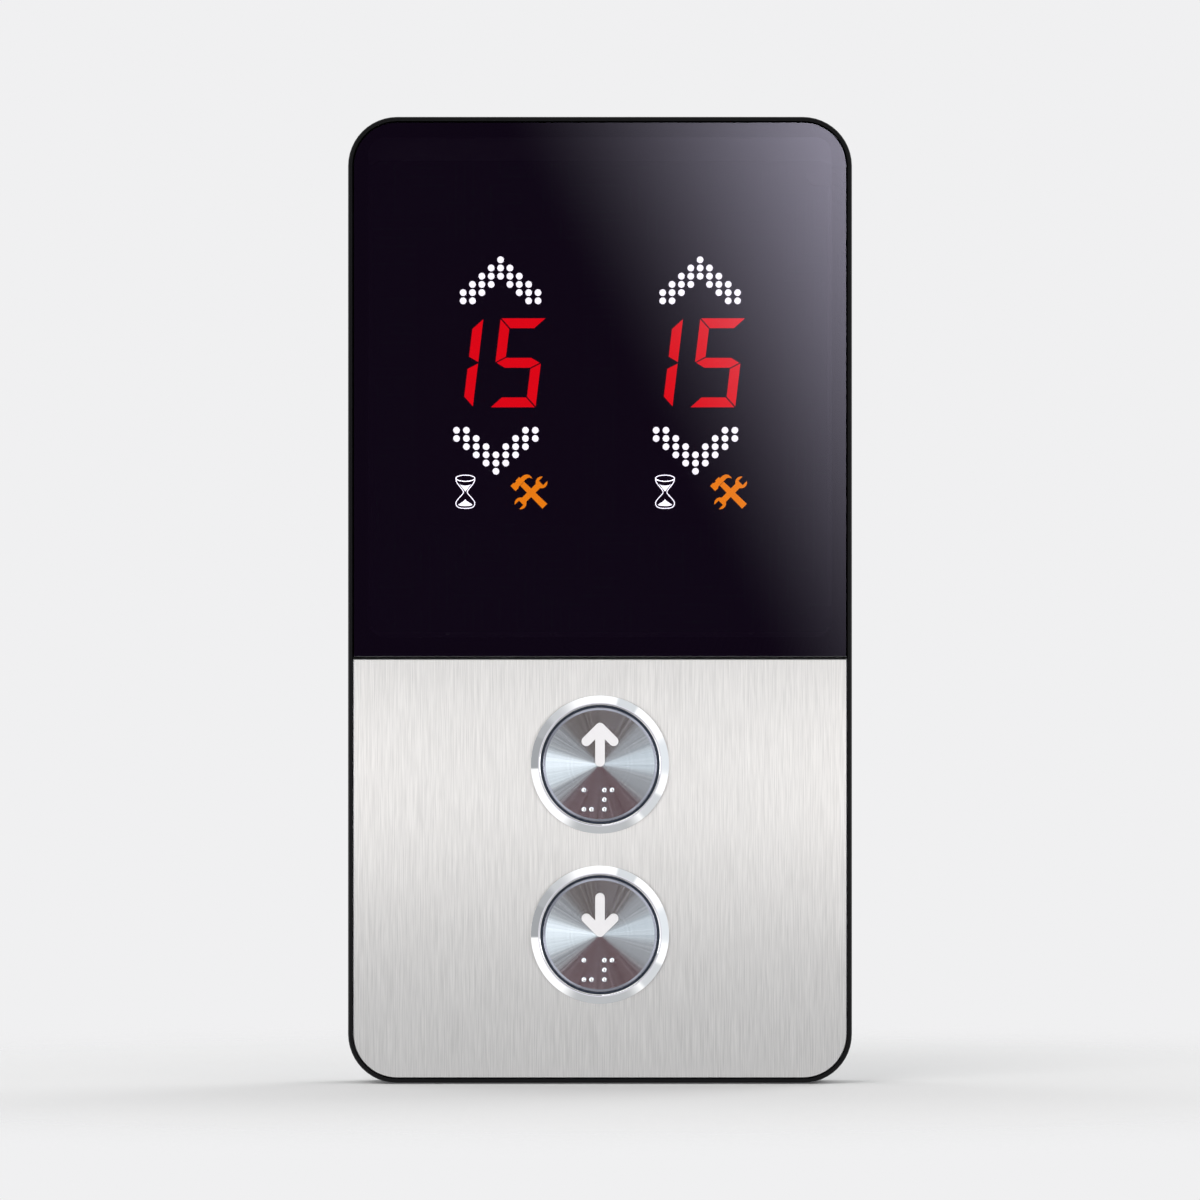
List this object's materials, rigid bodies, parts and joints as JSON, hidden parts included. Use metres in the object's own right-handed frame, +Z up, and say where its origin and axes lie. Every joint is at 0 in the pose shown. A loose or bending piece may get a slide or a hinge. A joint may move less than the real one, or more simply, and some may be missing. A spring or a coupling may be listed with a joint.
{
  "type": "elevator call panel",
  "caption": "Wall-mounted landing call panel: smoked window over two floor displays, stainless face plate with sprung round up and down push buttons",
  "frame": {"origin": "centre of the panel outline in the plane of the wall, on the back of the wall plate", "axes": "+Z up, -Y out of the wall towards the user, +X to the right as the user sees it"},
  "size_m": [0.146, 0.022, 0.28],
  "materials": {
    "frame_plastic": "fine moulded black ABS",
    "galvanised_sheet": "galvanised sheet with a faint spangle",
    "plated_steel": "zinc plated",
    "smoked_window": "smoked acrylic, glossy",
    "foam_tape": "closed-cell foam tape",
    "brushed_stainless": "upright brushed grain",
    "circuit_board": "green solder mask",
    "chip_resin": "moulded resin",
    "socket_plastic": "natural nylon",
    "block_plastic": "matte black face",
    "lit_red": "red light guide, lit",
    "dark_diffuser": "unlit light guide",
    "lit_white": "white light guide, lit",
    "symbol_lens": "smoked symbol lens",
    "chrome": "polished chrome",
    "clamp_zinc": "cast zinc",
    "navy_diffuser": "dark blue light ring, unlit",
    "body_plastic": "black nylon",
    "turned_steel": "face turned in fine rings",
    "polished_steel": "polished pin ends",
    "arrow_white": "white insert",
    "spring_steel": "drawn spring wire",
    "plunger_red": "moulded plunger",
    "led_lens": "clear moulded lamp"
  },
  "bodies": {
    "panel": {"wall_plate": "galvanised_sheet", "earth_stud": "plated_steel", "front_frame": "frame_plastic", "display_window": "smoked_window", "window_tape": "foam_tape", "face_plate": "brushed_stainless", "plate_gasket": "foam_tape", "plate_nuts": "plated_steel", "display_board": "circuit_board", "controller_chips": "chip_resin", "board_sockets": "socket_plastic", "board_screws": "plated_steel", "lock_screws": "plated_steel", "left_display_block": "block_plastic", "left_lit_segments": "lit_red", "left_dark_segments": "dark_diffuser", "left_up_dots": "lit_white", "left_down_dots": "lit_white", "left_symbol_lenses": "symbol_lens", "right_display_block": "block_plastic", "right_lit_segments": "lit_red", "right_dark_segments": "dark_diffuser", "right_up_dots": "lit_white", "right_down_dots": "lit_white", "right_symbol_lenses": "symbol_lens", "up_bezel": "chrome", "up_bezel_gasket": "foam_tape", "up_clamp_nut": "clamp_zinc", "up_light_ring": "navy_diffuser", "up_button_body": "body_plastic", "up_return_spring": "spring_steel", "up_switch": "chip_resin", "up_led_board": "circuit_board", "up_leds": "led_lens", "up_body_screws": "plated_steel", "up_socket": "socket_plastic", "down_bezel": "chrome", "down_bezel_gasket": "foam_tape", "down_clamp_nut": "clamp_zinc", "down_light_ring": "navy_diffuser", "down_button_body": "body_plastic", "down_return_spring": "spring_steel", "down_switch": "chip_resin", "down_led_board": "circuit_board", "down_leds": "led_lens", "down_body_screws": "plated_steel", "down_socket": "socket_plastic"},
    "up_button": {"up_cap": "turned_steel", "up_arrow": "arrow_white", "up_touch_dots": "polished_steel", "up_cap_carrier": "body_plastic"},
    "up_plunger": {"up_switch_plunger": "plunger_red"},
    "down_button": {"down_cap": "turned_steel", "down_arrow": "arrow_white", "down_touch_dots": "polished_steel", "down_cap_carrier": "body_plastic"},
    "down_plunger": {"down_switch_plunger": "plunger_red"}
  },
  "joints": [
    {"name": "up_press", "type": "slide", "parent": "panel", "child": "up_button", "axis": [0, 1, 0], "range_m": [0, 0.0015], "stiffness_N_per_m": 750, "springref_m": -0.0013, "deforming": ["up_return_spring"]},
    {"name": "up_switch_travel", "type": "slide", "parent": "panel", "child": "up_plunger", "axis": [0, 1, 0], "range_m": [0, 0.0015]},
    {"name": "down_press", "type": "slide", "parent": "panel", "child": "down_button", "axis": [0, 1, 0], "range_m": [0, 0.0015], "stiffness_N_per_m": 750, "springref_m": -0.0013, "deforming": ["down_return_spring"]},
    {"name": "down_switch_travel", "type": "slide", "parent": "panel", "child": "down_plunger", "axis": [0, 1, 0], "range_m": [0, 0.0015]}
  ],
  "couplings": [
    {"joint": "up_switch_travel", "follows": "up_press", "ratio": 1},
    {"joint": "down_switch_travel", "follows": "down_press", "ratio": 1}
  ]
}
